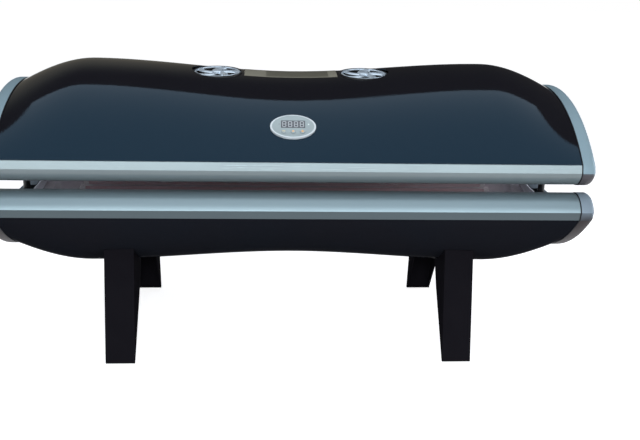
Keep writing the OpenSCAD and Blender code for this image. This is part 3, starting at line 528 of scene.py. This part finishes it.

# SHADOW LINE STRIPS
# A thin black bead, extruded in one length, lies in the joint where the canopy's shell meets each
# of its rails: a painted shadow, standing in for the dark shadow line of that joint.
BEAD_START, BEAD_CENTRE = (-SHELL_END, -0.5178, -0.0008), (-SHELL_END, -0.5138, 0.0040)
BEAD_TURN = 2.6
shadow_line_black = powder_coat("painted_shadow_black", (0.0022, 0.0020, 0.0026), (0.0036, 0.0034, 0.0040), 0.55, 0.02)
bead = new_mesh("bead")
add_point(BEAD_START)
bpy.ops.mesh.spin(steps=12, angle=-BEAD_TURN, center=BEAD_CENTRE, axis=(1, 0, 0))
bpy.ops.mesh.select_all(action="SELECT")
bpy.ops.mesh.edge_face_add()
extrude_along_bed()
bpy.ops.mesh.select_all(action="SELECT")
bpy.ops.mesh.normals_make_consistent(inside=False)
close_edit()
for name, stretch in (("seal_strip_front", (1, 1, 1)), ("seal_strip_rear", (1, -1, 1))):
    fitted(copied(bead, name, stretch, CANOPY_PLACE), shadow_line_black, 40, "canopy")
bpy.data.objects.remove(bead)

# LAMPS
# Ten red lamps in each half lie in front of a bright aluminium reflector, in white plastic lamp
# holders that stand on it.
mirror_sheet = anodised("reflector_sheet", (0.70, 0.71, 0.73), (0.78, 0.79, 0.80), 0.16, (4, 500, 500))
clad(mirror_sheet, "bench_reflector", "canopy_reflector")
lamp_glass = Finish("lamp_glass", {"Coat Weight": 0.6, "Coat Roughness": 0.06})
lamp_glass.give("Base Color", lamp_glass.blend(lamp_glass.noise(12, 3), shade(0.42, 0.085, 0.08),
                                               shade(0.50, 0.12, 0.10)))
lamp_glass.give("Roughness", 0.32 + 0.1 * lamp_glass.noise(60, 2))
clad(lamp_glass, "bench_lamps", "canopy_lamps")
holder = Finish("holder_plastic")
holder.give("Base Color", holder.blend(holder.noise(30, 3), shade(0.66, 0.65, 0.61), shade(0.74, 0.73, 0.69)))
holder.give("Roughness", 0.4 + 0.1 * holder.noise(90, 2))
clad(holder, "bench_lamp_holders", "canopy_lamp_holders")

# ACRYLIC
# Clear acrylic sheets, 5 mm thick and slightly smoked, lie between the rails' lips; the user lies
# on the lower one.
acrylic = Finish("clear_acrylic", {"Specular IOR Level": 0.5, "Alpha": 0.32})
acrylic.give("Base Color", acrylic.blend(acrylic.noise(4, 3),
                                         shade(0.78, 0.73, 0.80), shade(0.86, 0.81, 0.88)))
acrylic.give("Roughness", 0.05 + 0.10 * acrylic.clamp(acrylic.noise(5, 5, (1, 4, 4)), 0.5, 0.8))
acrylic.bump(acrylic.noise(6, 1), 0.0002)
clad(acrylic, "bench_acrylic", "canopy_acrylic")


# BULKHEADS
# Painted steel plates close both ends of each half under the end caps and carry the gas springs'
# studs.
def silver_paint(name, colour, other, rough, metallic, level=0.5, painted_shade_underside=None):
    """Silver paint: fine flakes, a slight bloom of dust, soft gloss. A cap's carries painted shade where it
    looks down, and a painted shadow along the joint at its inner edge."""
    paint = Finish(name, {"Metallic": metallic, "Specular IOR Level": level})
    flakes = paint.cells(1400)
    face = paint.blend(0.5 * flakes + 0.5 * paint.noise(4, 4), shade(*colour), shade(*other))
    if painted_shade_underside:
        # Painted shade: faces that look down take the darker colour.
        facing = paint.part(paint.node("TexCoord", {}, {}, "Normal"), "Z")
        face = paint.blend(paint.clamp(facing, -0.42, 0.04), shade(*painted_shade_underside), face)
        # Painted shadow: a dark line along the cap's inner edge, where it meets the shell and rails.
        out = paint.maths("ABSOLUTE", paint.part(paint.place(), "X"), 0)
        past_painted_joint_shadow = paint.clamp(out, SHELL_END + 0.0030, SHELL_END + 0.0042)
        face = paint.blend(past_painted_joint_shadow, shade(0.012, 0.012, 0.014), face)
    paint.give("Base Color", face)
    paint.give("Roughness", rough + 0.10 * paint.noise(7, 4) + 0.05 * flakes)
    paint.bump(paint.noise(500, 2), 0.00005)
    return paint


inner_paint = silver_paint("bulkhead_paint", (0.80, 0.86, 0.96), (0.84, 0.90, 0.99), 0.42, 0.0)
clad(inner_paint, "bench_bulkhead_left", "bench_bulkhead_right",
     "canopy_bulkhead_left", "canopy_bulkhead_right")

# END CAPS
# Moulded caps with rounded outer edges, painted silver, sit 2 mm proud of shell and rails; the
# curved cut-out between the upper and the lower one is the opening at each end.
# Each cap's last colour is painted shade, for its faces that look down.
bench_cap_paint = silver_paint("bench_cap_paint", (0.185, 0.235, 0.28), (0.21, 0.265, 0.315),
                               0.40, 0.25, 0.08, (0.024, 0.018, 0.019))
canopy_cap_paint = silver_paint("canopy_cap_paint", (0.195, 0.275, 0.32), (0.22, 0.305, 0.35),
                                0.40, 0.25, 0.08, (0.070, 0.066, 0.072))
for half, finish in (("bench", bench_cap_paint), ("canopy", canopy_cap_paint)):
    for side in ("left", "right"):
        dressed(half + "_end_cap_" + side, half, finish, 0.0012, 32, 0.4)

# CABLE GLAND
# A black nylon gland, clamped in the rear rail by a hexagonal nut on each side of it, is where
# the supply enters.
nylon = powder_coat("black_nylon", (0.012, 0.012, 0.013), (0.02, 0.02, 0.021), 0.42)
dressed("power_gland", "bench", nylon, 0.0005, 32)

# SERVICE COVER
# A shallow cover of painted sheet between the fans, flush with the shell, with a darker blank
# plate set in it.
warm_paint = powder_coat("cover_paint", (0.17, 0.16, 0.125), (0.21, 0.198, 0.158), 0.38)
plate_paint = powder_coat("plate_paint", (0.088, 0.083, 0.064), (0.108, 0.102, 0.080), 0.34)
dressed("top_cover", "canopy", warm_paint, 0.0, 25)
dressed("top_plate", "canopy", plate_paint, 0.0, 25)

# FANS
# Each well holds a black housing, a motor and a seven-bladed impeller under a chrome grille: a
# turned rim, a domed boss and five broad swirling vanes, pressed and plated.
# Each profile is a start and the steps from there; a vane's steps go outwards and up
RIM_START, BOSS_START = (0.0810, 0, -0.0085), (0.0220, 0, -0.0085)
RIM = ((0, 0, 0.0035), (0.0025, 0, 0.0020), (0.0040, 0, 0), (0.0022, 0, -0.0022), (0.0003, 0, -0.0033))
BOSS = ((0, 0, 0.0050), (-0.0020, 0, 0.0020), (-0.0050, 0, 0.0022), (-0.0070, 0, 0.0014),
        (-0.0080, 0, 0.0007))
VANE_COUNT, VANE_WALL = 5, 0.0016
VANE = ((0.0040, 0.0030), (0.0050, 0.0026), (0.0060, 0.0014), (0.0060, -0.0004), (0.0050, -0.0020),
        (0.0030, -0.0028))
VANE_BOW, VANE_INSET, VANE_LOW = 0.0558, 0.0150, -0.0100
BOW_CENTRE, BOW_START, BOW_SWEEP = Vector((0.0432, -0.0378, 0)), radians(124), radians(84)


def turned(name, start, profile, steps, filled):
    """A piece turned about Z from a profile, which may be closed and filled first."""
    piece = new_mesh(name)
    draw(start, profile)
    bpy.ops.mesh.select_all(action="SELECT")
    if filled:
        bpy.ops.mesh.edge_face_add()
    bpy.ops.mesh.spin(steps=steps, angle=2 * pi, center=(0, 0, 0), axis=(0, 0, 1))
    bpy.ops.mesh.select_all(action="SELECT")
    bpy.ops.mesh.remove_doubles(threshold=MERGE)
    bpy.ops.mesh.normals_make_consistent(inside=False)
    close_edit()
    return piece


def joined(*pieces):
    """Takes each piece's turn and place into its mesh, and joins all of them into the first."""
    deselect()
    for piece in pieces:
        piece.select_set(True)
    bpy.context.view_layer.objects.active = pieces[0]
    bpy.ops.object.transform_apply(location=True, rotation=True, scale=True)
    if len(pieces) > 1:
        bpy.ops.object.join()
    return pieces[0]


fan_black = powder_coat("fan_plastic", (0.012, 0.012, 0.013), (0.018, 0.018, 0.02), 0.4)
chrome = Finish("chrome", {"Metallic": 0.55, "Specular IOR Level": 0.5})
chrome.give("Base Color", chrome.blend(chrome.noise(25, 3), shade(0.56, 0.66, 0.76), shade(0.62, 0.71, 0.81)))
chrome.give("Roughness", 0.10 + 0.12 * chrome.clamp(chrome.noise(40, 4), 0.45, 0.8))
grille = turned("grille", RIM_START, RIM, 96, True)
boss = turned("boss", BOSS_START, BOSS, 64, False)
# An arched strip, swept in a bow from the boss to the rim
vane = new_mesh("vane")
outward = Vector((cos(BOW_START), sin(BOW_START), 0))
draw(BOW_CENTRE + (VANE_BOW - VANE_INSET) * outward + Vector((0, 0, VANE_LOW)),
     [out * outward + Vector((0, 0, rise)) for out, rise in VANE])
bpy.ops.mesh.select_all(action="SELECT")
bpy.ops.mesh.spin(steps=26, angle=BOW_SWEEP, center=BOW_CENTRE, axis=(0, 0, 1))
close_outward(vane, 2, 1)
modifier(vane, "SOLIDIFY", thickness=VANE_WALL, offset=-1)
vanes = [vane]
for number in range(1, VANE_COUNT):
    twin = copied(vane, "vane")
    twin.rotation_euler.z = radians(360 * number / VANE_COUNT)
    vanes.append(twin)
grille = joined(grille, boss, *vanes)
for name, side in (("left", -1), ("right", 1)):
    clad(fan_black, "fan_housing_" + name, "fan_impeller_" + name)
    clad(zinc, "fan_motor_" + name)
    piece = copied(grille, "fan_grille_plated_" + name)
    piece.location, piece.rotation_euler = (side * FAN_X, FAN_Y, FAN_Z), (FAN_TILT, 0, 0)
    fitted(joined(piece), chrome, 35, "canopy", "fan_grille_" + name)
bpy.data.objects.remove(grille)

# CONTROL PANEL
# An oval silver bezel with a dark display window and three soft keys, on a circuit board. Digits
# and marks are printed or moulded in low relief; a small lens sits on each side of the display.
BEZEL_HALF = (0.083, 0.053, 1)
DISPLAY_Y, KEYS_Y = 0.010, -0.024
RELIEF, PRINT_Z, KEY_LIFT = 0.0008, 0.0069, 0.0031
DIGIT_COUNT, DIGIT_WIDTH, DIGIT_HEIGHT, DIGIT_PITCH = 4, 0.012, 0.024, 0.0213
BAR_RADIUS, BAR_STRETCH = 0.00185, 0.00375
bezel = Finish("bezel_paint", {"Metallic": 0.35, "Coat Weight": 0.3})
on_panel = bezel.node("Mapping", {"vector_type": "TEXTURE"},
                      {"Vector": bezel.place(), "Location": PANEL_PLACE,
                       "Rotation": (PANEL_TILT, 0, 0), "Scale": BEZEL_HALF})
on_panel = bezel.node("VectorMath", {"operation": "MULTIPLY"}, {0: on_panel, 1: (1, 1, 0)})
rim = bezel.clamp(bezel.node("VectorMath", {"operation": "LENGTH"}, {0: on_panel}, "Value"), 0.90, 0.935)
face = bezel.blend(bezel.noise(900, 2), shade(0.27, 0.325, 0.345), shade(0.31, 0.37, 0.385))
bezel.give("Base Color", bezel.blend(rim, face, shade(0.54, 0.59, 0.62)))
bezel.give("Roughness", 0.35 + 0.1 * bezel.noise(30, 3))
bezel.bump(bezel.noise(1500, 1), 0.00003)
dressed("panel_bezel", "canopy", bezel, 0.0008)
window = Finish("display_glass", {"Coat Weight": 0.5, "Coat Roughness": 0.1})
window.give("Base Color", window.blend(window.noise(20, 2),
                                       shade(0.050, 0.056, 0.070), shade(0.062, 0.068, 0.082)))
window.give("Roughness", 0.25 + 0.1 * window.noise(60, 2))
clad(window, "display_window")
clad(powder_coat("circuit_board", (0.015, 0.09, 0.03), (0.02, 0.12, 0.04), 0.4), "panel_board")


def moulded(name, colour, other, rough):
    """Plain moulded or printed plastic, slightly uneven in colour and gloss."""
    plastic = Finish(name)
    plastic.give("Base Color", plastic.blend(plastic.noise(120, 2), shade(*colour), shade(*other)))
    plastic.give("Roughness", rough + 0.15 * plastic.noise(200, 2))
    return plastic


def on_the_panel(piece, finish, body):
    """Lays a piece made flat at the origin on the panel's sloping face."""
    piece.location, piece.rotation_euler = PANEL_PLACE, (PANEL_TILT, 0, 0)
    fitted(joined(piece), finish, 30, body)


key_rubber = moulded("key_rubber", (0.27, 0.315, 0.33), (0.30, 0.345, 0.355), 0.5)
for key in ("minus", "start", "plus"):
    dressed("button_" + key, "key_" + key, key_rubber, 0.0007)

# One bar of a digit: a small six-sided plate, drawn out along Y, with its upper edge broken
deselect()
bpy.ops.mesh.primitive_cylinder_add(vertices=6, radius=BAR_RADIUS, depth=RELIEF, location=(0, 0, PRINT_Z))
bar = joined(bpy.context.object)
for side in (-1, 1):
    edit(bar)
    bpy.ops.mesh.select_all(action="DESELECT")
    close_edit()
    for point in bar.data.vertices:
        point.select = point.co.y * side > 0
    bpy.ops.object.mode_set(mode="EDIT")
    bpy.ops.transform.translate(value=(0, side * BAR_STRETCH, 0))
    close_edit()
modifier(bar, "BEVEL", width=0.00025, segments=1, limit_method="ANGLE", angle_limit=radians(60))
bars = [copied(bar, "bar", move=(x * DIGIT_WIDTH / 2, DISPLAY_Y + y * DIGIT_HEIGHT / 4, 0))
        for x in (-1, 1) for y in (-1, 1)]
bar.rotation_euler.z = radians(90)
joined(bar)
bars += [copied(bar, "bar", move=(0, DISPLAY_Y + y * DIGIT_HEIGHT / 2, 0)) for y in (-1, 0, 1)]
digit = joined(*bars)
digits = joined(*[copied(digit, "digit", move=((number - (DIGIT_COUNT - 1) / 2) * DIGIT_PITCH, 0, 0))
                  for number in range(DIGIT_COUNT)])
digits.name = "display_digits"
on_the_panel(digits, moulded("digit_grey", (0.34, 0.37, 0.40), (0.38, 0.41, 0.43), 0.4), "canopy")
bpy.data.objects.remove(digit)

# Marks on the keys: a bar, a cross and a triangle
KEY_PITCH = 0.034
MARK = (1, 1.1, 1)
TRIANGLE_RADIUS = 0.0055
key_orange = moulded("key_orange", (0.62, 0.34, 0.13), (0.70, 0.40, 0.17), 0.45)
pale_orange = moulded("key_pale_orange", (0.48, 0.43, 0.27), (0.52, 0.46, 0.29), 0.45)
minus = copied(bar, "minus_mark", MARK, (-KEY_PITCH, KEYS_Y, KEY_LIFT))
on_the_panel(minus, pale_orange, "key_minus")
plus, upright_bar = copied(bar, "plus_mark", MARK), copied(bar, "bar", MARK)
upright_bar.rotation_euler.z = radians(90)
joined(plus, upright_bar)
plus.location = (KEY_PITCH, KEYS_Y, KEY_LIFT)
on_the_panel(joined(plus), key_orange, "key_plus")
bpy.data.objects.remove(bar)
deselect()
bpy.ops.mesh.primitive_cylinder_add(vertices=3, radius=TRIANGLE_RADIUS, depth=RELIEF,
                                    location=(0, KEYS_Y, PRINT_Z + KEY_LIFT), rotation=(0, 0, radians(-90)))
triangle = joined(bpy.context.object)
triangle.name = "start_mark"
modifier(triangle, "BEVEL", width=0.0003, segments=2, limit_method="ANGLE", angle_limit=radians(50))
on_the_panel(triangle, key_orange, "key_start")

# Small lenses beside the display: flattened balls, about half sunk
LENS_RADIUS, LENS_Z = 0.0028, 0.0068
for name, place, colour in (("lens_left", -0.050, (0.22, 0.25, 0.27)),
                            ("lens_right", 0.056, (0.62, 0.70, 0.70))):
    deselect()
    bpy.ops.mesh.primitive_uv_sphere_add(segments=24, ring_count=12, radius=LENS_RADIUS,
                                         location=(place, DISPLAY_Y, LENS_Z), scale=(1, 1, 0.5))
    lens = joined(bpy.context.object)
    lens.name = name
    tinted = moulded(name + "_plastic", colour, [1.15 * part for part in colour], 0.2)
    on_the_panel(lens, tinted, "canopy")

# HINGES
# Two black steel hinges behind the rear rails turn on 12 mm zinc-plated pins. One leaf of each is
# fixed to the bench's rail and the other to the canopy's.
for half in ("bench", "canopy"):
    dressed("hinge_leaves_" + half, half, black_coat, 0.0006, 32)
clad(zinc, "hinge_pins")

# GAS SPRINGS
# A gas spring at each end carries the canopy's weight: a black tube below and a chromed rod above,
# each turning on a zinc-plated stud in its bulkhead.
spring_paint = powder_coat("spring_tube_paint", (0.008, 0.008, 0.009), (0.013, 0.013, 0.014), 0.25)
rod_chrome = anodised("rod_chrome", (0.70, 0.71, 0.73), (0.76, 0.77, 0.79), 0.10, (300, 300, 4))
for side in ("left", "right"):
    dressed("gas_spring_tube_" + side, "gas_spring_tube_" + side, spring_paint, 0.0005, 32)
    dressed("gas_spring_rod_" + side, "gas_spring_rod_" + side, rod_chrome, 0.0004, 32)
clad(zinc, "spring_studs_bench", "spring_studs_canopy")
